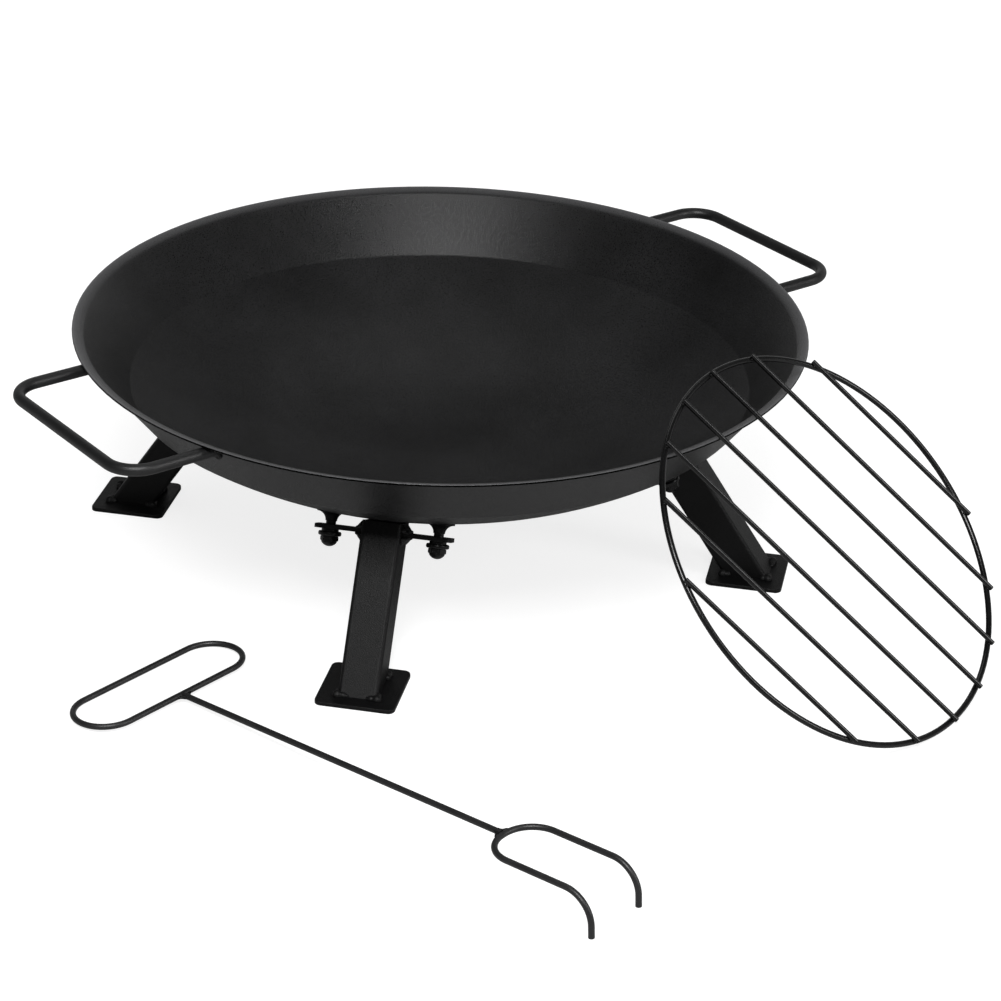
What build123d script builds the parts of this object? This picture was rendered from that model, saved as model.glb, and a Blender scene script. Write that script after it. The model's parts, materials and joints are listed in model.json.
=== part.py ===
"""Round steel fire pit on four splayed legs, with a leaning cooking grate and a lifting fork.

Millimetres, +Z up. The origin is the middle of the bowl's floor, on the inside, and X runs
through the two carrying handles. The ground lies floor_height below the origin.
"""
import os
from math import asin, atan2, cos, degrees, hypot, radians, sin, sqrt, tan

from build123d import *

os.makedirs("parts", exist_ok=True)

# Bowl: one pressed sheet with a dished floor, a steeper wall and a turned-out lip
bowl_diameter = 760.0
wall_width = 57.5
floor_flat_diameter = 80.0
floor_height = 97.0
sheet = 2.5
dish_slope = 36.4
wall_slope = 51.4
lip_slope = 20.0
lip_width = 9.5
crease_bend = 6.0
lip_bend = 6.0
rim_round = 1.1

# Carrying handles: bent round rod, welded to the wall under the lip
handle_rod = 12.0
handle_stand = 65.8
handle_width = 226.5
handle_bend = 32.0
handle_drop = 10.8
handle_bead = 3.5
handle_bead_length = 5.0
handle_bead_edge = 0.7

# Legs: square tube on a square foot plate
leg_azimuth = 41.9
leg_count = 4
leg_lean = 34.0
leg_tube_width = 40.0
leg_tube_wall = 3.0
leg_tube_corner = 4.0
leg_bore_corner = 1.3
leg_top_clearance = 1.5
foot_inset = 44.0
foot_side = 80.0
foot_thickness = 4.0
foot_corner = 7.0
foot_edge = 0.8
foot_tack = 7.0
foot_tack_height = 5.0
foot_tack_slope = 32.0

# Bracket ears on the sides of each leg, and the studs that carry the bowl
bracket_gap = 10.0
ear_span = 138.0
ear_width = 25.0
ear_thickness = 4.0
ear_corner = 5.0
ear_bead = 6.0
stud_spacing = 109.0
stud_diameter = 10.0
stud_hole_clearance = 0.5
stud_engagement = 6.5
collar_stand = 3.5
collar_flare = 9.0
collar_wall = 0.8

# Washers and dome nuts under the ears
washer_clearance = 0.3
spring_washer_diameter = 17.0
spring_washer_thickness = 2.8
spring_washer_split = 2.0
flat_washer_diameter = 23.0
flat_washer_thickness = 4.5
flat_washer_round = 1.6
nut_across_flats = 16.0
nut_face_diameter = 15.4
nut_chamfer = 30.0
nut_hex_height = 5.4
nut_dome_diameter = 15.4
nut_dome_height = 5.2
nut_shoulder = 1.0
nut_thread_clearance = 0.1

# Cooking grate: a wire ring with round bars welded across it
grate_diameter = 409.0
grate_wire = 6.0
grate_bar = 5.0
grate_bar_count = 7
grate_bar_pitch = 57.7
grate_bar_turn = -69.2
grate_bar_overhang = 2.5
grate_weld_sink = 0.4
grate_azimuth = -76.3
grate_slope = 45.0
grate_rim_clearance = 0.3

# Lifting fork: a looped handle, a straight shaft and two prongs with turned-down tips
fork_rod = 6.0
fork_loop_length = 202.0
fork_loop_width = 65.0
fork_shaft_length = 413.0
fork_prong_spacing = 65.0
fork_prong_length = 127.0
fork_prong_bend = 31.0
fork_tip_length = 40.0
fork_tip_bend = 29.0
fork_bead = 2.0
fork_bead_length = 6.0
fork_bead_edge = 0.5
fork_aside = 27.0
fork_forward = 143.9
fork_heading = -77.7

# Values that follow from the sizes above
bowl_radius = bowl_diameter / 2
crease_radius = bowl_radius - wall_width
floor_flat_radius = floor_flat_diameter / 2
ground = -floor_height
dish_angle = radians(dish_slope)
wall_angle = radians(wall_slope)
lip_angle = radians(lip_slope)
dish_radius = (crease_radius - floor_flat_radius) / sin(dish_angle)
lip_run = lip_bend * (sin(wall_angle) - sin(lip_angle)) + lip_width * cos(lip_angle)
lip_rise = lip_bend * (cos(lip_angle) - cos(wall_angle)) + lip_width * sin(lip_angle)
wall_run = bowl_radius - crease_radius - crease_bend * (sin(wall_angle) - sin(dish_angle)) - lip_run
wall_length = wall_run / cos(wall_angle)
crease_height = dish_radius * (1 - cos(dish_angle))
rim_height = (
    crease_height
    + crease_bend * (cos(dish_angle) - cos(wall_angle))
    + wall_length * sin(wall_angle)
    + lip_rise
)


def save(piece, name):
    """Name a finished piece and write it."""
    piece.part.label = name
    export_step(piece.part, f"parts/{name}.step")


def bowl_path(skin):
    """Bowl profile moved outwards by skin, drawn from the axis to the edge of the lip."""
    floor = Line((0, -skin), (floor_flat_radius, -skin))
    dish = JernArc(floor @ 1, floor % 1, dish_radius + skin, dish_slope)
    crease = JernArc(dish @ 1, dish % 1, crease_bend + skin, wall_slope - dish_slope)
    wall = Line(crease @ 1, crease @ 1 + wall_length * (crease % 1))
    turn = JernArc(wall @ 1, wall % 1, lip_bend - skin, lip_slope - wall_slope)
    lip = Line(turn @ 1, turn @ 1 + lip_width * (turn % 1))
    return lip @ 1


def bowl_form(skin):
    """Everything inside the bowl's profile moved outwards by skin, as one solid."""
    with BuildPart() as form:
        with BuildSketch(Plane.XZ):
            with BuildLine():
                edge = bowl_path(skin)
                Line(edge, (0, edge.Y))
                Line((0, edge.Y), (0, -skin))
            make_face()
        revolve(axis=Axis.Z)
    return form.part


# Bowl
with BuildPart() as bowl:
    with BuildSketch(Plane.XZ) as bowl_section:
        with BuildLine():
            inner_edge = bowl_path(0)
            outer_edge = bowl_path(sheet)
            Line(inner_edge, outer_edge)
            Line((0, 0), (0, -sheet))
        make_face()
        fillet(bowl_section.vertices().sort_by(Axis.X)[-2:], radius=rim_round)
    revolve(axis=Axis.Z)
save(bowl, "bowl")

bowl_outside = bowl_form(sheet)
leg_top_cut = bowl_form(sheet + leg_top_clearance)

# Carrying handles and their weld beads
handle_height = rim_height - handle_drop
handle_reach = bowl_radius + handle_stand
handle_half = handle_width / 2
handle_plane = Plane((0, 0, handle_height))
handle_radius = handle_rod / 2
arm_start = crease_radius
bead_radius = handle_radius + handle_bead
bead_root = bead_radius / tan(wall_angle) + handle_bead
bead_taper = degrees(atan2(handle_bead - handle_bead_edge, handle_bead_length))
skin = sheet / sin(wall_angle)
wall_at_handle = bowl_radius - lip_run - (handle_drop - lip_rise) / tan(wall_angle) + skin
arm_at_wall = sqrt(wall_at_handle**2 - handle_half**2)

with BuildPart() as handle:
    with BuildLine(handle_plane) as handle_line:
        FilletPolyline(
            (arm_start, -handle_half),
            (handle_reach, -handle_half),
            (handle_reach, handle_half),
            (arm_start, handle_half),
            radius=handle_bend,
        )
    with BuildSketch(Plane((arm_start, -handle_half, handle_height), z_dir=(1, 0, 0))):
        Circle(handle_radius)
    sweep(path=handle_line.wire())
    add(bowl_outside, mode=Mode.SUBTRACT)

with BuildPart() as handle_bead_pair:
    for side in (-1, 1):
        bead_plane = Plane((arm_at_wall, side * handle_half, handle_height), z_dir=(1, 0, 0))
        with BuildSketch(bead_plane):
            Circle(bead_radius)
        extrude(amount=-bead_root)
        with BuildSketch(bead_plane):
            Circle(bead_radius)
        extrude(amount=handle_bead_length, taper=bead_taper)
    split(bisect_by=Plane((0, 0, rim_height - sheet)), keep=Keep.BOTTOM)
    add(bowl_outside, mode=Mode.SUBTRACT)
    add(handle.part, mode=Mode.SUBTRACT)

for name, turn in (("right", 0), ("left", 180)):
    with BuildPart() as placed_handle:
        add(handle.part, rotation=(0, 0, turn))
    save(placed_handle, f"handle_{name}")
    with BuildPart() as placed_beads:
        add(handle_bead_pair.part, rotation=(0, 0, turn))
    save(placed_beads, f"handle_welds_{name}")

# One leg, drawn along +X
lean = radians(leg_lean)
foot_radius = bowl_radius - foot_inset
leg_axis = Vector(-sin(lean), 0, cos(lean))
foot_top = ground + foot_thickness
leg_foot = Vector(foot_radius, 0, foot_top)
leg_plane = Plane(leg_foot, x_dir=(0, 1, 0), z_dir=leg_axis)
leg_reach = (crease_height - foot_top) / cos(lean)
half_tube = leg_tube_width / 2

with BuildPart() as foot_plate:
    with BuildSketch(Plane((foot_radius, 0, ground))):
        RectangleRounded(foot_side, foot_side, foot_corner)
    extrude(amount=foot_thickness)
    fillet(foot_plate.faces().sort_by(Axis.Z)[-1].edges(), radius=foot_edge)

with BuildPart() as leg_core:
    with BuildSketch(leg_plane):
        RectangleRounded(leg_tube_width, leg_tube_width, leg_tube_corner)
    extrude(amount=leg_reach)
    with BuildSketch(leg_plane):
        RectangleRounded(leg_tube_width, leg_tube_width, leg_tube_corner)
    extrude(amount=-leg_tube_width)
    split(bisect_by=Plane((0, 0, foot_top)), keep=Keep.TOP)
    add(leg_top_cut, mode=Mode.SUBTRACT)

bore_side = leg_tube_width - 2 * leg_tube_wall
with BuildPart() as leg_tube:
    add(leg_core.part)
    with BuildSketch(leg_plane):
        RectangleRounded(bore_side, bore_side, leg_bore_corner)
    extrude(amount=leg_reach, both=True, mode=Mode.SUBTRACT)

with BuildPart() as foot_weld:
    with BuildSketch(Plane((foot_radius, 0, foot_top))):
        with GridLocations(leg_tube_width / cos(lean), leg_tube_width, 2, 2):
            Circle(foot_tack)
    extrude(amount=foot_tack_height, taper=foot_tack_slope)
    add(leg_core.part, mode=Mode.SUBTRACT)

# Bracket plane: square to the bowl's dish where the leg's axis passes it
ear_depth = dish_radius + sheet + bracket_gap + ear_thickness / 2
axis_miss = foot_radius - floor_flat_radius - (dish_radius - foot_top) * tan(lean)
bracket_angle = lean + asin(axis_miss * cos(lean) / ear_depth)
stud_axis = Vector(sin(bracket_angle), 0, -cos(bracket_angle))
bracket_middle = Vector(floor_flat_radius, 0, dish_radius) + stud_axis * ear_depth
ear_plane = Plane(bracket_middle - stud_axis * (ear_thickness / 2), x_dir=(0, 1, 0), z_dir=stud_axis)
ear_length = (ear_span - leg_tube_width) / 2
ear_centre = half_tube + ear_length / 2
stud_offset = stud_spacing / 2

with BuildPart() as leg_bracket:
    with BuildSketch(ear_plane):
        with Locations((-ear_centre, 0), (ear_centre, 0)):
            Rectangle(ear_length, ear_width)
    extrude(amount=ear_thickness)
    ear_ends = leg_bracket.edges().filter_by(Axis(bracket_middle, stud_axis)).sort_by(Axis.Y)
    fillet(ear_ends[:2] + ear_ends[-2:], radius=ear_corner)
    with BuildSketch(ear_plane):
        with Locations((-stud_offset, 0), (stud_offset, 0)):
            Circle(stud_diameter / 2 + stud_hole_clearance)
    extrude(amount=ear_thickness, mode=Mode.SUBTRACT)

slope_axis = Vector(cos(bracket_angle), 0, sin(bracket_angle))
ear_bead_plane = Plane(bracket_middle - slope_axis * (ear_width / 2), x_dir=(0, 1, 0), z_dir=slope_axis)
with BuildPart() as bracket_weld:
    with BuildSketch(ear_bead_plane):
        for side in (-1, 1):
            for face in (-1, 1):
                root = (side * half_tube, face * ear_thickness / 2)
                with BuildLine():
                    Polyline(
                        root,
                        (side * (half_tube + ear_bead), face * ear_thickness / 2),
                        (side * half_tube, face * (ear_thickness / 2 + ear_bead)),
                        close=True,
                    )
                make_face()
    extrude(amount=ear_width)

places = ("back_right", "back_left", "front_left", "front_right")
leg_turns = [leg_azimuth + number * 360 / leg_count for number in range(leg_count)]
leg_pieces = (
    (leg_tube, "leg_tube"),
    (foot_plate, "foot_plate"),
    (foot_weld, "foot_weld"),
    (leg_bracket, "leg_bracket"),
    (bracket_weld, "bracket_welds"),
)
for place, turn in zip(places, leg_turns):
    for piece, name in leg_pieces:
        with BuildPart() as placed:
            add(piece.part, rotation=(0, 0, turn))
        save(placed, f"{name}_{place}")

# Stud seats: on the ears' lower faces, pointing away from the bowl
ear_low = bracket_middle + stud_axis * (ear_thickness / 2)
stud_seats = []
for turn in leg_turns:
    for side in (-1, 1):
        seat = Plane(ear_low + Vector(0, side * stud_offset, 0), x_dir=(0, 1, 0), z_dir=stud_axis)
        stud_seats.append(Location((0, 0, 0), (0, 0, turn)) * seat.location)

stack = spring_washer_thickness + flat_washer_thickness
stud_radius = stud_diameter / 2
bowl_pass = 2 * bracket_gap
stud_root = ear_thickness + bowl_pass

with BuildPart() as stud:
    with BuildSketch(Plane((0, 0, -stud_root))):
        Circle(stud_radius)
    extrude(amount=stud_root + stack + stud_engagement)

collar_end = -ear_thickness - collar_stand
with BuildPart() as collar:
    with BuildSketch(Plane.XZ):
        with BuildLine():
            flare = JernArc((stud_radius + collar_wall, collar_end), (0, -1), collar_flare, 90)
            Polyline(
                flare @ 1,
                (stud_radius + collar_wall + collar_flare, -stud_root),
                (stud_radius, -stud_root),
                (stud_radius, collar_end),
                flare @ 0,
            )
        make_face()
    revolve(axis=Axis.Z)

with BuildPart() as spring_washer:
    with BuildSketch():
        Circle(spring_washer_diameter / 2)
        Circle(stud_radius + washer_clearance, mode=Mode.SUBTRACT)
        with Locations((spring_washer_diameter / 2, 0)):
            Rectangle(spring_washer_diameter, spring_washer_split, mode=Mode.SUBTRACT)
    extrude(amount=spring_washer_thickness)

with BuildPart() as flat_washer:
    with BuildSketch(Plane((0, 0, spring_washer_thickness))):
        Circle(flat_washer_diameter / 2)
        Circle(stud_radius + washer_clearance, mode=Mode.SUBTRACT)
    extrude(amount=flat_washer_thickness)
    washer_edges = flat_washer.edges().filter_by(GeomType.CIRCLE).sort_by(SortBy.RADIUS)
    fillet(washer_edges[-2:], radius=flat_washer_round)

dome_base = stack + nut_hex_height
dome_top = dome_base + nut_dome_height
cap_base = dome_base + nut_shoulder
dome_radius = nut_dome_diameter / 2
cap_height = nut_dome_height - nut_shoulder
cap_radius = (dome_radius**2 + cap_height**2) / (2 * cap_height)
cap_angle = asin(dome_radius / cap_radius)
nut_face = nut_face_diameter / 2
nut_reach = nut_across_flats / sqrt(3) + nut_thread_clearance
chamfer_rise = (nut_reach - nut_face) * tan(radians(nut_chamfer))
with BuildPart() as dome_nut:
    with BuildSketch(Plane((0, 0, stack))):
        RegularPolygon(nut_across_flats / 2, 6, major_radius=False)
    extrude(amount=nut_hex_height)
    for level, inward in ((stack, chamfer_rise), (dome_base, -chamfer_rise)):
        with BuildSketch(Plane.XZ):
            with BuildLine():
                Polyline((nut_face, level), (nut_reach, level), (nut_reach, level + inward), close=True)
            make_face()
        revolve(axis=Axis.Z, mode=Mode.SUBTRACT)
    with BuildSketch(Plane.XZ):
        with BuildLine():
            Polyline((0, dome_top), (0, dome_base), (dome_radius, dome_base), (dome_radius, cap_base))
            ThreePointArc(
                (dome_radius, cap_base),
                (cap_radius * sin(cap_angle / 2), dome_top - cap_radius * (1 - cos(cap_angle / 2))),
                (0, dome_top),
            )
        make_face()
    revolve(axis=Axis.Z)
    with BuildSketch(Plane((0, 0, stack))):
        Circle(stud_radius + nut_thread_clearance)
    extrude(amount=stud_engagement + nut_thread_clearance, mode=Mode.SUBTRACT)

fasteners = (
    (stud, "weld_studs", True),
    (collar, "stud_collars", True),
    (spring_washer, "spring_washers", False),
    (flat_washer, "flat_washers", False),
    (dome_nut, "dome_nuts", False),
)
for piece, name, meets_bowl in fasteners:
    with BuildPart() as group:
        with Locations(*stud_seats):
            add(piece.part)
        if meets_bowl:
            add(bowl_outside, mode=Mode.SUBTRACT)
    save(group, name)

# Cooking grate: its ring stands on the ground and its bars lean on the rim
grate_turn = radians(grate_azimuth)
grate_lean = radians(grate_slope)
grate_radius = grate_diameter / 2
wire_radius = grate_wire / 2
bar_radius = grate_bar / 2
bar_rise = wire_radius + bar_radius - grate_weld_sink
rim_rise = bar_rise - bar_radius - grate_rim_clearance
bar_turn = radians(grate_bar_turn)
bar_way = Vector(cos(bar_turn), sin(bar_turn), 0)
bar_side = Vector(-sin(bar_turn), cos(bar_turn), 0)
grate_height = ground + wire_radius + grate_radius * sin(grate_lean)

# The rounded rim meets two neighbouring bars alike
rim_core_radius = bowl_radius - rim_round * (cos(lip_angle) - sin(lip_angle))
rim_core_height = rim_height - rim_round * (cos(lip_angle) + sin(lip_angle))
touch_side = grate_bar_pitch / 2 / bar_side.X
touch_out = sqrt(rim_core_radius**2 - touch_side**2)
touch_up = (rim_core_height - grate_height) / sin(grate_lean)
grate_sideways = touch_up * bar_side.Y / bar_side.X - touch_side
grate_out = touch_out + touch_up * cos(grate_lean) + (rim_round - rim_rise) / sin(grate_lean)
outwards = Vector(cos(grate_turn), sin(grate_turn), 0)
sideways = Vector(-sin(grate_turn), cos(grate_turn), 0)
grate_middle = outwards * grate_out + sideways * grate_sideways + Vector(0, 0, grate_height)
grate_face = outwards * sin(grate_lean) + Vector(0, 0, cos(grate_lean))
grate_plane = Plane(grate_middle, x_dir=sideways, z_dir=grate_face)

with BuildPart(grate_plane) as grate_ring:
    Torus(grate_radius, wire_radius)
save(grate_ring, "grate_ring")

for number in range(grate_bar_count):
    offset_across = (number - (grate_bar_count - 1) / 2) * grate_bar_pitch
    half_length = sqrt((grate_radius + grate_bar_overhang) ** 2 - offset_across**2)
    start = bar_side * offset_across - bar_way * half_length + Vector(0, 0, bar_rise)
    finish = start + bar_way
    bar_start = grate_plane.from_local_coords(start)
    bar_axis = grate_plane.from_local_coords(finish) - bar_start
    with BuildPart() as bar:
        with BuildSketch(Plane(bar_start, z_dir=bar_axis)):
            Circle(bar_radius)
        extrude(amount=2 * half_length)
        add(grate_ring.part, mode=Mode.SUBTRACT)
    save(bar, f"grate_bar_{number + 1}")

# Lifting fork: the far side of its loop and the two tips lie on the ground
rod_radius = fork_rod / 2
fork_end = fork_shaft_length + fork_prong_length
rest_length = fork_end - rod_radius + fork_loop_width
fork_tilt = atan2(fork_tip_length, rest_length) - asin(rod_radius / hypot(rest_length, fork_tip_length))
fork_height = ground + rod_radius + fork_loop_width * sin(fork_tilt)
fork_turn = radians(fork_heading)
fork_way = Vector(cos(fork_turn) * cos(fork_tilt), sin(fork_turn) * cos(fork_tilt), sin(fork_tilt))
fork_up = Vector(-cos(fork_turn) * sin(fork_tilt), -sin(fork_turn) * sin(fork_tilt), cos(fork_tilt))
fork_place = Vector(-bowl_radius - fork_aside, -fork_forward, fork_height)
fork_plane = Plane(fork_place, x_dir=fork_way, z_dir=fork_up)
fork_across = fork_up.cross(fork_way)


def fork_point(along, across, up=0):
    """Point of the fork from its own lengths along the shaft, across it and upwards."""
    return fork_plane.from_local_coords(Vector(along, across, up))


loop_radius = fork_loop_width / 2
loop_half = fork_loop_length / 2 - loop_radius
with BuildPart() as fork_handle:
    with BuildLine() as loop_line:
        Line(fork_point(0, 0), fork_point(0, loop_half))
        ThreePointArc(
            fork_point(0, loop_half),
            fork_point(-loop_radius, loop_half + loop_radius),
            fork_point(-fork_loop_width, loop_half),
        )
        Line(fork_point(-fork_loop_width, loop_half), fork_point(-fork_loop_width, -loop_half))
        ThreePointArc(
            fork_point(-fork_loop_width, -loop_half),
            fork_point(-loop_radius, -loop_half - loop_radius),
            fork_point(0, -loop_half),
        )
        Line(fork_point(0, -loop_half), fork_point(0, 0))
    with BuildSketch(Plane(fork_point(0, 0), z_dir=fork_across)):
        Circle(rod_radius)
    sweep(path=loop_line.wire())
save(fork_handle, "fork_handle")

prong = fork_prong_spacing / 2
with BuildPart() as fork_prongs:
    with BuildLine() as prong_line:
        FilletPolyline(
            fork_point(fork_end, -prong, -fork_tip_length),
            fork_point(fork_end, -prong),
            fork_point(fork_shaft_length, -prong),
            fork_point(fork_shaft_length, prong),
            fork_point(fork_end, prong),
            fork_point(fork_end, prong, -fork_tip_length),
            radius=[fork_tip_bend, fork_prong_bend, fork_prong_bend, fork_tip_bend],
        )
    with BuildSketch(Plane(fork_point(fork_end, -prong, -fork_tip_length), z_dir=fork_up)):
        Circle(rod_radius)
    sweep(path=prong_line.wire())
save(fork_prongs, "fork_prongs")

with BuildPart() as fork_shaft:
    with BuildSketch(Plane(fork_point(rod_radius, 0), z_dir=fork_way)):
        Circle(rod_radius)
    extrude(amount=fork_shaft_length - 2 * rod_radius)
save(fork_shaft, "fork_shaft")

fork_bead_taper = degrees(atan2(fork_bead, fork_bead_length))
handle_bead_start = rod_radius + fork_bead_length
prong_bead_start = fork_shaft_length - rod_radius - fork_bead_length
with BuildPart() as fork_welds:
    with BuildSketch(Plane(fork_point(handle_bead_start, 0), z_dir=-fork_way)):
        Circle(rod_radius + fork_bead_edge)
    extrude(amount=fork_bead_length + rod_radius, taper=-fork_bead_taper)
    with BuildSketch(Plane(fork_point(prong_bead_start, 0), z_dir=fork_way)):
        Circle(rod_radius + fork_bead_edge)
    extrude(amount=fork_bead_length + rod_radius, taper=-fork_bead_taper)
    add(fork_shaft.part, mode=Mode.SUBTRACT)
    add(fork_handle.part, mode=Mode.SUBTRACT)
    add(fork_prongs.part, mode=Mode.SUBTRACT)
save(fork_welds, "fork_welds")
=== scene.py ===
# %% [markdown]
# # A steel fire pit with its cooking grate and lifting fork
# The set is a pressed steel bowl on four splayed legs, a round wire grate that leans on the
# bowl's rim, and a fork of bent rod for lifting hot things. The exact shapes come from a
# finished model, which is loaded first and never moved. This file adds what a camera sees:
# painted surfaces, lumpy welds, the studio and the camera.

# %% Load the frame
import json
from math import atan2, cos, pi, radians, sin, sqrt, tan

import bmesh
import bpy
from mathutils import Matrix, Vector


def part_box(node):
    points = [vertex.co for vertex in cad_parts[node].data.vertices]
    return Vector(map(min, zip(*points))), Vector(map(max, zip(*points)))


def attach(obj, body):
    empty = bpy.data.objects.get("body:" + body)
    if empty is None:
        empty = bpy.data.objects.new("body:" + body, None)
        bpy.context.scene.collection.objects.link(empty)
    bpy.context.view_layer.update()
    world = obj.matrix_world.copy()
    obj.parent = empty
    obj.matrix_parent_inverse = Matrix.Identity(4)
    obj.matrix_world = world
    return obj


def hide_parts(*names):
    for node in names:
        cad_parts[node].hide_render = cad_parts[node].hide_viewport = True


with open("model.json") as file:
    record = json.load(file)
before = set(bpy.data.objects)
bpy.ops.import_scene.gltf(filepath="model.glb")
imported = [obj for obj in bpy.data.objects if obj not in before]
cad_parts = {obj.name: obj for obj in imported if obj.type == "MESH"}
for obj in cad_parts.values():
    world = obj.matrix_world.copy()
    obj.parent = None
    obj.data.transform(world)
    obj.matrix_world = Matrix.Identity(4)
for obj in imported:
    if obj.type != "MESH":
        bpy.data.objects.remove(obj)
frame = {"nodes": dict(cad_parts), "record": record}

nodes = frame["nodes"]
scene = bpy.context.scene
scene.view_settings.view_transform = "Standard"
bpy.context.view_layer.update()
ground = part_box("foot_plate_front_left")[0].z
print("loaded", len(nodes), "pieces, standing on", round(ground, 4))

# %% [markdown]
# ## Camera
# The picture was taken from about three metres away with a long lens, so the far side of the
# rim is hardly smaller than the near side. A long lens flattens a round object, and a short
# one would stretch it. The camera stands on a line turned from the handles' line, looks
# down by 27 degrees, and is rolled a little, as a hand-held camera often is.

# %% Place the camera
image_side = 1001
focal_length_in_pixels = 3061.2
camera_distance = 2.9142
camera_height = 1.5332
view_turn = radians(-36.19)
look_aside = radians(-1.32)
look_down = radians(27.08)
lean_aside = radians(1.82)
camera_data = bpy.data.cameras.new("camera")
camera_data.sensor_width = 36.0
camera_data.lens = camera_data.sensor_width * focal_length_in_pixels / image_side
camera = bpy.data.objects.new("camera", camera_data)
scene.collection.objects.link(camera)
scene.camera = camera
view_line = Matrix.Rotation(view_turn, 4, "Z")
standpoint = Matrix.Translation((0, -camera_distance, ground + camera_height))
pan = Matrix.Rotation(look_aside, 4, "Z")
tilt = Matrix.Rotation(pi / 2 - look_down, 4, "X")
roll = Matrix.Rotation(lean_aside, 4, "Z")
camera.matrix_world = view_line @ standpoint @ pan @ tilt @ roll
print("camera lens", round(camera_data.lens, 1), "mm")

# %% [markdown]
# ## Wiring
# The room and every finish are small webs of nodes. Each of these helpers adds one node, wires
# it up and hands back its result, so that a web reads like a few sums. An input that never
# changes is set on the socket itself, and one that does is linked.


# %% Wiring helpers
def feed(tree, value, socket):
    """Link a result to an input, or set a plain value on it."""
    if isinstance(value, bpy.types.NodeSocket):
        tree.links.new(value, socket)
    else:
        socket.default_value = value


def sums(tree, operation, first, second):
    """Add, take away, multiply or compare two numbers."""
    node = tree.nodes.new("ShaderNodeMath")
    node.operation = operation
    feed(tree, first, node.inputs[0])
    feed(tree, second, node.inputs[1])
    return node.outputs[0]


def stretch(tree, value, start, end, low=0.0, high=1.0, smooth=True):
    """Stretch the range from start to end over the range from low to high."""
    node = tree.nodes.new("ShaderNodeMapRange")
    if smooth:
        node.interpolation_type = "SMOOTHSTEP"
    node.inputs["From Min"].default_value = start
    node.inputs["From Max"].default_value = end
    node.inputs["To Min"].default_value = low
    node.inputs["To Max"].default_value = high
    tree.links.new(value, node.inputs["Value"])
    return node.outputs["Result"]


def mixed(tree, share, first, second, kind="FLOAT"):
    """Mix two numbers by a share, or two colours where the kind is RGBA."""
    node = tree.nodes.new("ShaderNodeMix")
    node.data_type = kind
    tree.links.new(share, node.inputs["Factor"])
    feed(tree, first, node.inputs["A"])
    feed(tree, second, node.inputs["B"])
    return node.outputs["Result"]


print("wiring helpers ready")

# %% [markdown]
# ## Studio
# Black paint has almost no colour of its own: nearly all that the eye sees on it is a soft
# reflection of the room. A white room all round would turn it grey, so what the paint mirrors
# is a pale sweep behind the set, a little to the right and low over the floor, with dim sides
# and a dark ceiling. Camera rays see plain white.

# %% Build the room
world = bpy.data.worlds.new("studio")
scene.world = world
world.use_nodes = True
room = world.node_tree
background = room.nodes["Background"]
direction = room.nodes.new("ShaderNodeTexCoord").outputs["Generated"]
height = room.nodes.new("ShaderNodeSeparateXYZ")
room.links.new(direction, height.inputs["Vector"])
ceiling = stretch(room, height.outputs["Z"], start=0.05, end=0.45, low=0.40, high=0.15)
sweep_turn = radians(18)
behind = room.nodes.new("ShaderNodeVectorMath")
behind.operation = "DOT_PRODUCT"
behind.inputs[1].default_value = view_line @ Vector((sin(sweep_turn), cos(sweep_turn), 0))
room.links.new(direction, behind.inputs[0])
sweep = stretch(room, behind.outputs["Value"], start=0.4, end=0.9, low=0.4, high=1.6)
pale = sums(room, "MULTIPLY", ceiling, sweep)
rays = room.nodes.new("ShaderNodeLightPath").outputs
mirror_rays = sums(room, "MAXIMUM", rays["Is Glossy Ray"], rays["Is Transmission Ray"])
plain_light = 0.55
white = 1.0
mirrored = mixed(room, mirror_rays, plain_light, pale)
seen = mixed(room, rays["Is Camera Ray"], mirrored, white)
background.inputs["Color"].default_value = (1, 1, 1, 1)
room.links.new(seen, background.inputs["Strength"])
print("room built from", len(room.nodes), "nodes")

# %% [markdown]
# ## Lamps
# One wide soft box stands above and behind the camera: the back wall of the bowl faces it and
# shows it as a soft bright patch. A second, weaker box on the right lights the outer faces of
# the legs, and a wide dim one high at the back gives the bowl's floor its even sheen. A lamp's
# turn is counted from the camera's side, to the right, and its size and distance are in metres.


# %% Place the lamps
def soft_box(name, turn, elevation, distance, width, height, power):
    lamp_data = bpy.data.lights.new(name, "AREA")
    lamp_data.shape = "RECTANGLE"
    lamp_data.size = width
    lamp_data.size_y = height
    lamp_data.energy = power
    lamp = bpy.data.objects.new(name, lamp_data)
    scene.collection.objects.link(lamp)
    aim = view_line @ Matrix.Rotation(radians(turn), 4, "Z")
    lean = Matrix.Rotation(radians(90 - elevation), 4, "X")
    lamp.matrix_world = aim @ lean @ Matrix.Translation((0, 0, distance))


soft_box("key_box", turn=-4, elevation=48, distance=3.2, width=1.2, height=0.9, power=78)
soft_box("right_box", turn=62, elevation=24, distance=3.4, width=1.0, height=1.4, power=32)
soft_box("top_box", turn=180, elevation=64, distance=3.2, width=2.0, height=0.7, power=7)

# %% [markdown]
# ## Floor
# A plain sheet that takes the shadows of the bowl, the legs, the grate and the fork. A light
# of its own, which only the camera sees, lifts it to the white of the background, so that the
# black paint has no white floor to mirror.

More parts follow.
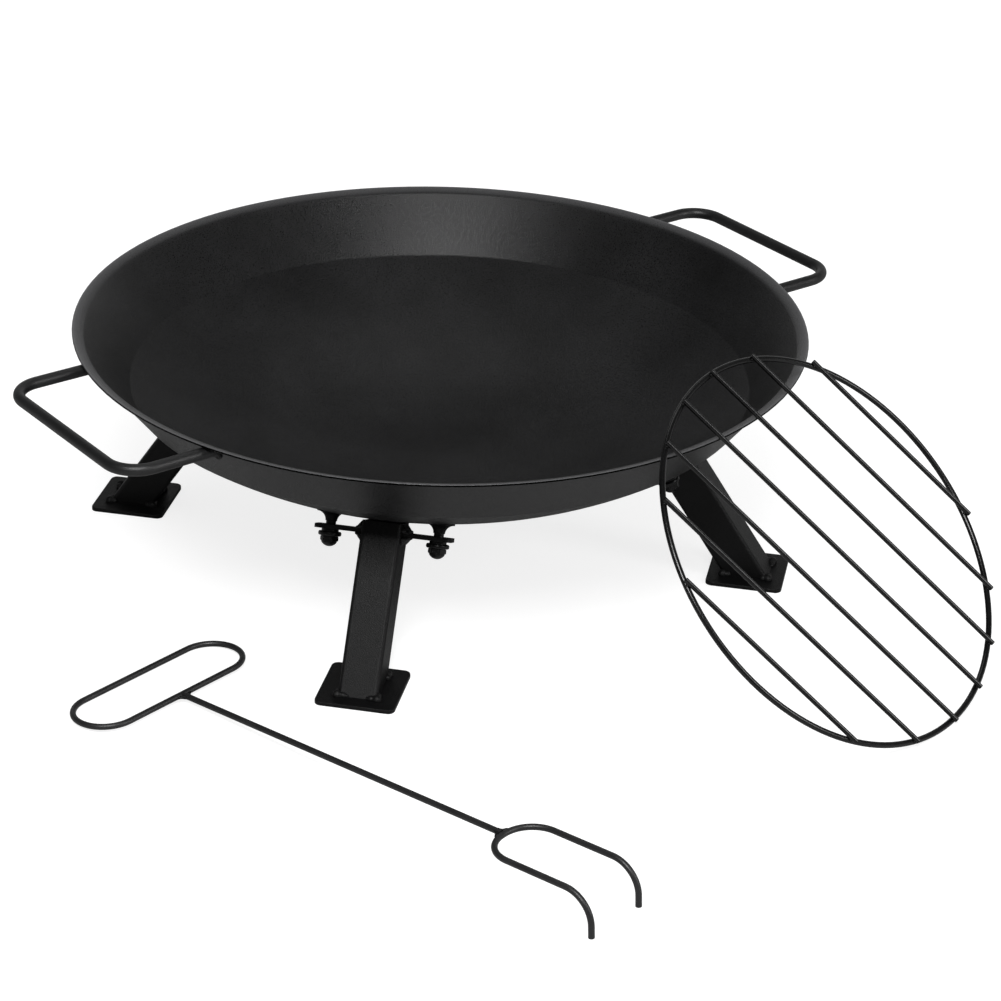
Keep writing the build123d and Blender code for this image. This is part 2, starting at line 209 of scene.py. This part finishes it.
# %% Lay the floor
floor_reach = 8.0
paper_grey = 0.36
paper_glow = 0.78
floor_mesh = bpy.data.meshes.new("floor")
floor_form = bmesh.new()
bmesh.ops.create_grid(floor_form, x_segments=1, y_segments=1, size=floor_reach)
bmesh.ops.translate(floor_form, verts=floor_form.verts, vec=(0, 0, ground))
floor_form.to_mesh(floor_mesh)
floor_form.free()
floor = bpy.data.objects.new("floor", floor_mesh)
scene.collection.objects.link(floor)
floor_paper = bpy.data.materials.new("floor_paper")
floor_paper.use_nodes = True
paper = floor_paper.node_tree
paper_face = paper.nodes["Principled BSDF"]
paper_face.inputs["Base Color"].default_value = (paper_grey, paper_grey, paper_grey, 1)
paper_face.inputs["Roughness"].default_value = 1.0
paper_face.inputs["Specular IOR Level"].default_value = 0.0
paper_face.inputs["Emission Color"].default_value = (1, 1, 1, 1)
paper_rays = paper.nodes.new("ShaderNodeLightPath").outputs
paper_lift = sums(paper, "MULTIPLY", paper_rays["Is Camera Ray"], paper_glow)
paper.links.new(paper_lift, paper_face.inputs["Emission Strength"])
floor_mesh.materials.append(floor_paper)
print("floor laid at", round(ground, 4))

# %% [markdown]
# ## Paint
# Sprayed heat-resistant paint dries to a fine dry grain, finer than a millimetre, over broad
# patches that are a shade lighter where the coat is thinner. The grain and the patches are
# one node group, which every finish on the set uses with its own sizes.


# %% Paint grain group
def group_socket(group, name, way, kind="NodeSocketFloat", value=None):
    socket = group.interface.new_socket(name=name, in_out=way, socket_type=kind)
    if value is not None:
        socket.default_value = value


def cloud(tree, place, scale, detail, roughness):
    """A noise pattern, from 0 to 1."""
    node = tree.nodes.new("ShaderNodeTexNoise")
    node.inputs["Detail"].default_value = detail
    node.inputs["Roughness"].default_value = roughness
    tree.links.new(place, node.inputs["Vector"])
    tree.links.new(scale, node.inputs["Scale"])
    return node.outputs["Fac"]


paint_grain = bpy.data.node_groups.new("paint_grain", "ShaderNodeTree")
group_socket(paint_grain, "Place", "INPUT", "NodeSocketVector")
group_socket(paint_grain, "Grains per metre", "INPUT", value=1000.0)
group_socket(paint_grain, "Patches per metre", "INPUT", value=8.0)
group_socket(paint_grain, "Patch", "OUTPUT")
group_socket(paint_grain, "Grain", "OUTPUT")
grain_in = paint_grain.nodes.new("NodeGroupInput").outputs
grain_out = paint_grain.nodes.new("NodeGroupOutput").inputs
grain_place = grain_in["Place"]
fine = cloud(paint_grain, grain_place, grain_in["Grains per metre"], detail=3.0, roughness=0.65)
broad = cloud(paint_grain, grain_place, grain_in["Patches per metre"], detail=5.0, roughness=0.55)
speckle = stretch(paint_grain, fine, start=0.36, end=0.64, smooth=False)
contrast = stretch(paint_grain, broad, start=0.3, end=0.7, smooth=False)
paint_grain.links.new(contrast, grain_out["Patch"])
paint_grain.links.new(speckle, grain_out["Grain"])
print("paint grain group ready")

# %% [markdown]
# A finish mixes two near blacks by the patches, speckles them with the grain, and lets the
# grain change the gloss a little. The grain also stands up as a very low bump.


# %% Finishes
def near_black(level):
    """Black that is a shade bluer than neutral, as sooty pigments are."""
    return (level, level, 1.04 * level, 1)


def black_finish(name, dark, light, gloss, sheen, grains, patches, depth):
    finish = bpy.data.materials.new(name)
    finish.use_nodes = True
    tree = finish.node_tree
    face = tree.nodes["Principled BSDF"].inputs
    place = tree.nodes.new("ShaderNodeTexCoord")
    grain = tree.nodes.new("ShaderNodeGroup")
    grain.node_tree = paint_grain
    grain.inputs["Grains per metre"].default_value = grains
    grain.inputs["Patches per metre"].default_value = patches
    tree.links.new(place.outputs["Object"], grain.inputs["Place"])
    patch_here, grain_here = grain.outputs["Patch"], grain.outputs["Grain"]
    shade = sums(tree, "MULTIPLY", patch_here, grain_here)
    colour = mixed(tree, shade, near_black(dark), near_black(light), "RGBA")
    tree.links.new(colour, face["Base Color"])
    rough = stretch(tree, grain_here, start=0, end=1, low=gloss[0], high=gloss[1], smooth=False)
    tree.links.new(rough, face["Roughness"])
    bump = tree.nodes.new("ShaderNodeBump")
    bump.inputs["Strength"].default_value = 0.5
    bump.inputs["Distance"].default_value = depth
    tree.links.new(grain_here, bump.inputs["Height"])
    tree.links.new(bump.outputs["Normal"], face["Normal"])
    face["Specular IOR Level"].default_value = sheen
    print("finish", name)
    return finish


print("finish recipe ready")

# %% [markdown]
# Every finish on the set is black, and it is mostly the gloss and the grain that tell them
# apart. The nuts and the grate's wire are the smoothest, then comes the bowl, the legs are
# dry, and the welds are the roughest.

# %% Mix the paints
bowl_paint = black_finish(
    "bowl_paint", dark=0.003, light=0.017, gloss=(0.26, 0.40), sheen=0.30,
    grains=800, patches=7, depth=0.0002,
)
frame_paint = black_finish(
    "frame_paint", dark=0.0012, light=0.006, gloss=(0.40, 0.54), sheen=0.22,
    grains=900, patches=18, depth=0.0002,
)
handle_paint = black_finish(
    "handle_paint", dark=0.004, light=0.012, gloss=(0.38, 0.48), sheen=0.50,
    grains=900, patches=18, depth=0.0001,
)
nut_black = black_finish(
    "nut_black", dark=0.002, light=0.006, gloss=(0.18, 0.30), sheen=0.30,
    grains=1500, patches=60, depth=0.00005,
)
wire_paint = black_finish(
    "wire_paint", dark=0.0015, light=0.006, gloss=(0.20, 0.27), sheen=0.42,
    grains=1400, patches=40, depth=0.00003,
)
fork_paint = black_finish(
    "fork_paint", dark=0.007, light=0.020, gloss=(0.38, 0.46), sheen=0.52,
    grains=1400, patches=40, depth=0.00005,
)
weld_black = black_finish(
    "weld_black", dark=0.002, light=0.008, gloss=(0.42, 0.60), sheen=0.25,
    grains=700, patches=90, depth=0.0002,
)

# %% [markdown]
# Along the lip a highlight is painted into the colour: it is a shade lighter there, more so
# outwards, and lightest on the very edge. Only faces that look upwards get this painted
# highlight. Below that bright line, the cut edge of the sheet has a painted shadow: it is
# painted near black and made metallic, so it gives back almost no light and shows as a thin dark line.
# The distances are from the middle of the bowl, in metres.

# %% Painted rim highlight and edge shadow group
rim_highlight_and_shadow = bpy.data.node_groups.new("rim_highlight_and_shadow", "ShaderNodeTree")
group_socket(rim_highlight_and_shadow, "Place", "INPUT", "NodeSocketVector")
group_socket(rim_highlight_and_shadow, "Facing", "INPUT", "NodeSocketVector")
group_socket(rim_highlight_and_shadow, "Painted highlight", "OUTPUT")
group_socket(rim_highlight_and_shadow, "Painted edge shadow", "OUTPUT")
rim_in = rim_highlight_and_shadow.nodes.new("NodeGroupInput").outputs
rim_out = rim_highlight_and_shadow.nodes.new("NodeGroupOutput").inputs
flat = rim_highlight_and_shadow.nodes.new("ShaderNodeVectorMath")
flat.operation = "MULTIPLY"
flat.inputs[1].default_value = (1, 1, 0)
reach = rim_highlight_and_shadow.nodes.new("ShaderNodeVectorMath")
reach.operation = "LENGTH"
facing = rim_highlight_and_shadow.nodes.new("ShaderNodeSeparateXYZ")
rim_highlight_and_shadow.links.new(rim_in["Place"], flat.inputs[0])
rim_highlight_and_shadow.links.new(flat.outputs["Vector"], reach.inputs[0])
rim_highlight_and_shadow.links.new(rim_in["Facing"], facing.inputs["Vector"])
from_middle = reach.outputs["Value"]
# Painted highlight: the lip's upward faces are lighter outwards and lightest on the very edge.
lip_highlight = stretch(rim_highlight_and_shadow, from_middle, start=0.3640, end=0.3820, high=0.62)
edge_highlight = stretch(rim_highlight_and_shadow, from_middle, start=0.3772, end=0.3790, high=0.22)
lip_and_edge_highlight = sums(rim_highlight_and_shadow, "ADD", lip_highlight, edge_highlight)
looks_up = stretch(rim_highlight_and_shadow, facing.outputs["Z"], start=0.5, end=0.8)
painted_highlight = sums(rim_highlight_and_shadow, "MULTIPLY", lip_and_edge_highlight, looks_up)
# Painted shadow: the outermost faces that do not look up, the cut edge, are marked for a thin dark
# line.
outermost = stretch(rim_highlight_and_shadow, from_middle, start=0.3788, end=0.3794)
not_up = sums(rim_highlight_and_shadow, "SUBTRACT", 1.0, looks_up)
painted_edge_shadow = sums(rim_highlight_and_shadow, "MULTIPLY", outermost, not_up)
rim_highlight_and_shadow.links.new(painted_highlight, rim_out["Painted highlight"])
rim_highlight_and_shadow.links.new(painted_edge_shadow, rim_out["Painted edge shadow"])
print("rim highlight and shadow group ready")

# %% [markdown]
# The group's painted highlight and painted edge shadow go into the bowl's own paint, between the
# colour that is mixed there already and the shader.

# %% Paint the highlight and the edge shadow on the bowl's rim
# Painted highlight colour for the lip.
highlight_colour = (0.085, 0.085, 0.088, 1)
# Painted shadow colour for the cut edge.
edge_shadow_colour = (0.0006, 0.0006, 0.0006, 1)
bowl_tree = bowl_paint.node_tree
bowl_face = bowl_tree.nodes["Principled BSDF"].inputs
bowl_colour = bowl_face["Base Color"].links[0].from_socket
bowl_place = bowl_tree.nodes.new("ShaderNodeTexCoord").outputs
rim = bowl_tree.nodes.new("ShaderNodeGroup")
rim.node_tree = rim_highlight_and_shadow
bowl_tree.links.new(bowl_place["Object"], rim.inputs["Place"])
bowl_tree.links.new(bowl_place["Normal"], rim.inputs["Facing"])
# The painted highlight lightens the lip's colour.
lip_highlighted = mixed(bowl_tree, rim.outputs["Painted highlight"], bowl_colour, highlight_colour, "RGBA")
# The painted edge shadow darkens the cut edge and makes it metallic, so it gives back almost no light.
edge_shaded = mixed(bowl_tree, rim.outputs["Painted edge shadow"], lip_highlighted, edge_shadow_colour, "RGBA")
bowl_tree.links.new(edge_shaded, bowl_face["Base Color"])
bowl_tree.links.new(rim.outputs["Painted edge shadow"], bowl_face["Metallic"])
print("rim highlight and edge shadow painted")

# %% [markdown]
# ## Who wears what
# Each piece names the slot that it is painted in, and each slot gets one finish. The handles
# are of the frame's black too, worn a little smoother by hands, and the fork is of the grate's
# black, gone a shade paler with use.

# %% Hand out the finishes
finish_of_slot = {
    "bowl_black": bowl_paint,
    "frame_black": frame_paint,
    "fastener_black": nut_black,
    "wire_black": wire_paint,
}
finish_of_node = {
    "handle_right": handle_paint,
    "handle_left": handle_paint,
    "fork_handle": fork_paint,
    "fork_shaft": fork_paint,
    "fork_prongs": fork_paint,
}
for subpart in frame["record"]["subparts"]:
    name = subpart["node"]
    finish = finish_of_node.get(name, finish_of_slot[subpart["material_slot"]])
    nodes[name].data.materials.clear()
    nodes[name].data.materials.append(finish)
print("painted", len(nodes), "pieces")

# %% [markdown]
# ## Welds
# The legs, brackets, handles and fork are welded, and then painted over. A weld is a row of
# overlapping puddles of metal, so each bead starts as a row of small balls along its seam.
# A Remesh modifier melts the balls into one skin and a Smooth modifier calms it, which leaves
# the ripples and lumps that a plain swept bead would not have.

# %% Weld helpers
melt_step = 0.0009


def weld_bead(name, spots, body, replaced=(), passes=2):
    form = bmesh.new()
    for place, size in spots:
        bmesh.ops.create_icosphere(form, subdivisions=2, radius=size, matrix=Matrix.Translation(place))
    mesh = bpy.data.meshes.new(name)
    form.to_mesh(mesh)
    form.free()
    mesh.materials.append(weld_black)
    bead = bpy.data.objects.new(name, mesh)
    scene.collection.objects.link(bead)
    melt = bead.modifiers.new("melt", "REMESH")
    melt.mode = "VOXEL"
    melt.voxel_size = melt_step
    melt.use_smooth_shade = True
    calm = bead.modifiers.new("calm", "SMOOTH")
    calm.factor = 0.5
    calm.iterations = passes
    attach(bead, body)
    if replaced:
        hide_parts(*replaced)
    return bead


def spots_along(start, finish, count, size, lump):
    """Balls from start to finish, uneven in size by a share of lump."""
    spots = []
    for number in range(count):
        share = number / (count - 1)
        uneven = sin(2.4 * number + 40 * (start.x + start.y))
        spots.append((start.lerp(finish, share), size * (1 + lump * uneven)))
    return spots


print("weld helpers ready")

# %% [markdown]
# Each tube is tacked to its plate at the four corners: a fat lump of weld sits at each, with
# smaller ones trailing from it along the tube's sides. The tube leans, so its footprint is
# longer than it is wide. The plate's own box gives the middle of the foot and the way that the
# leg faces. Each lump is set in from its corner along the foot, across it and down.

# %% Foot welds
places = ("back_right", "back_left", "front_left", "front_right")
tube_half = 0.020
leg_lean = radians(34)
foot_print_half = tube_half / cos(leg_lean)
tack_height = 0.0012
tack_lumps = (
    (0.0000, 0.0000, 0.0000, 0.0050),
    (0.0055, 0.0000, 0.0000, 0.0036),
    (0.0000, 0.0060, 0.0000, 0.0036),
    (0.0000, 0.0095, 0.0004, 0.0024),
)
for place in places:
    low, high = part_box(f"foot_plate_{place}")
    middle = (low + high) / 2
    leg_way = Matrix.Rotation(atan2(middle.y, middle.x), 4, "Z")
    turned = Matrix.Translation((middle.x, middle.y, high.z)) @ leg_way
    spots = []
    for sx in (-1, 1):
        for sy in (-1, 1):
            for along, across, down, size in tack_lumps:
                x = sx * (foot_print_half - along)
                y = sy * (tube_half - across)
                spots.append((turned @ Vector((x, y, tack_height - down)), size))
    weld_bead(f"foot_bead_{place}", spots, "fire_bowl", [f"foot_weld_{place}"])
print("foot welds", len(places))

# %% [markdown]
# Two flat ears carry each leg's bolts. They are welded to the tube's sides above and below,
# square to the slope of the bowl. These welds are broad hollow fillets, so each is three rows
# of balls: one up the tube, one in the corner and one out along the ear. A row is given by how
# far out and up it lies and how thick it is.

# %% Bracket welds
ear_slope = radians(25.4)
ear_half_width = 0.0125
ear_half_thickness = 0.002
fillet_rows = ((0.0000, 0.0065, 0.0020), (0.0008, 0.0028, 0.0036), (0.0052, 0.0008, 0.0020))
balls_in_row = 12
for place in places:
    low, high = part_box(f"leg_bracket_{place}")
    middle = (low + high) / 2
    leg_way = Matrix.Rotation(atan2(middle.y, middle.x), 4, "Z")
    turned = Matrix.Translation(middle) @ leg_way @ Matrix.Rotation(-ear_slope, 4, "Y")
    spots = []
    for side in (-1, 1):
        for face in (-1, 1):
            for out, up, size in fillet_rows:
                y = side * (tube_half + out)
                z = face * (ear_half_thickness + up)
                start = turned @ Vector((-ear_half_width, y, z))
                end = turned @ Vector((ear_half_width, y, z))
                spots += spots_along(start, end, balls_in_row, size, lump=0.06)
    weld_bead(f"bracket_beads_{place}", spots, "fire_bowl", [f"bracket_welds_{place}"], passes=6)
print("bracket welds", len(places))

# %% [markdown]
# The handles' rods run into the bowl's sloping wall just under the lip. The seam round each
# rod is an ellipse on a cone: every ball sits at the wall's own radius for its height. No ball
# goes as high as the underside of the lip.

# %% Handle welds
low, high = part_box("handle_right")
rod_radius = 0.006
rod_height = (low.z + high.z) / 2
rod_side = high.y - rod_radius
wall_slope = radians(51.4)
rim_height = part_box("bowl")[1].z
wall_at_rim = 0.3757
lip_room = 0.0062
seam_radius = rod_radius + 0.0012
seam_proud = 0.0006
seam_bead = 0.0027
seam_lump = 0.15
seam_balls = 14
for name, outward in (("right", 1), ("left", -1)):
    spots = []
    for side in (-1, 1):
        for number in range(seam_balls):
            angle = 2 * pi * number / seam_balls
            y = side * rod_side + seam_radius * cos(angle)
            z = rod_height + seam_radius * sin(angle)
            wall = wall_at_rim - (rim_height - z) / tan(wall_slope)
            x = outward * (sqrt(wall**2 - y**2) + seam_proud)
            if z < rim_height - lip_room:
                size = seam_bead * (1 + seam_lump * sin(2.7 * number))
                spots.append((Vector((x, y, z)), size))
    weld_bead(f"handle_beads_{name}", spots, "fire_bowl", [f"handle_welds_{name}"])
print("handle welds 2")

# %% [markdown]
# The fork's shaft is butted against the loop at one end and against the prongs' bend at the
# other. Its welds are small webs, which fill the corner on either side of the shaft: each runs
# in a hollow curve from the shaft's side out along the rod that it meets.

# %% Fork welds
heading = radians(-77.7)
fork_tilt = radians(3.53)
way = Vector((cos(heading) * cos(fork_tilt), sin(heading) * cos(fork_tilt), sin(fork_tilt)))
low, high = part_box("fork_shaft")
shaft_middle = (low + high) / 2
shaft_half = 0.2035
sideways = Vector((0, 0, 1)).cross(way).normalized()
web_reach = 0.0062
web_root = 0.0016
web_hollow = 1.5
web_bead = 0.0023
web_taper = 0.0005
web_lump = 0.0002
web_balls = 7
spots = []
for end in (-1, 1):
    for side in (-1, 1):
        for number in range(web_balls):
            share = number / (web_balls - 1)
            along = end * (shaft_half - web_reach * (1 - share) ** web_hollow)
            across = side * (web_root + web_reach * share**web_hollow)
            place = shaft_middle + way * along + sideways * across
            uneven = sin(5 * number + end + side)
            spots.append((place, web_bead - web_taper * share + web_lump * uneven))
weld_bead("fork_beads", spots, "lifting_fork", ["fork_welds"], passes=5)
print("fork welds 2")

# %% [markdown]
# The grate's bars lie across its ring and are spot welded where they cross it. Each crossing
# has a small flash of metal on both sides of the bar. The grate leans by 45 degrees, so its
# crossings are found flat, in the ring's own plane, and then leaned.

# %% Grate welds
low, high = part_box("grate_ring")
grate_middle = (low + high) / 2
grate_heading = Matrix.Rotation(radians(-76.3), 4, "Z")
grate_lean = Matrix.Rotation(radians(45.0), 4, "Y")
grate_turn = grate_heading @ grate_lean @ Matrix.Rotation(radians(90), 4, "Z")
grate_plane = Matrix.Translation(grate_middle) @ grate_turn
ring_radius = 0.2045
bar_turn = radians(-69.2)
bar_way = Vector((cos(bar_turn), sin(bar_turn), 0))
bar_across = Vector((-sin(bar_turn), cos(bar_turn), 0))
bar_count = 7
bar_spacing = 0.0577
flash_beside = 0.0019
flash_height = 0.0029
flash_size = 0.0017
spots = []
for number in range(bar_count):
    offset = (number - (bar_count - 1) / 2) * bar_spacing
    half_bar = sqrt(ring_radius**2 - offset**2)
    for end in (-1, 1):
        for side in (-1, 1):
            crossing = bar_way * end * half_bar + bar_across * (offset + side * flash_beside)
            spots.append((grate_plane @ (crossing + Vector((0, 0, flash_height))), flash_size))
weld_bead("grate_beads", spots, "grate", ())
print("grate welds", len(spots) // 2)
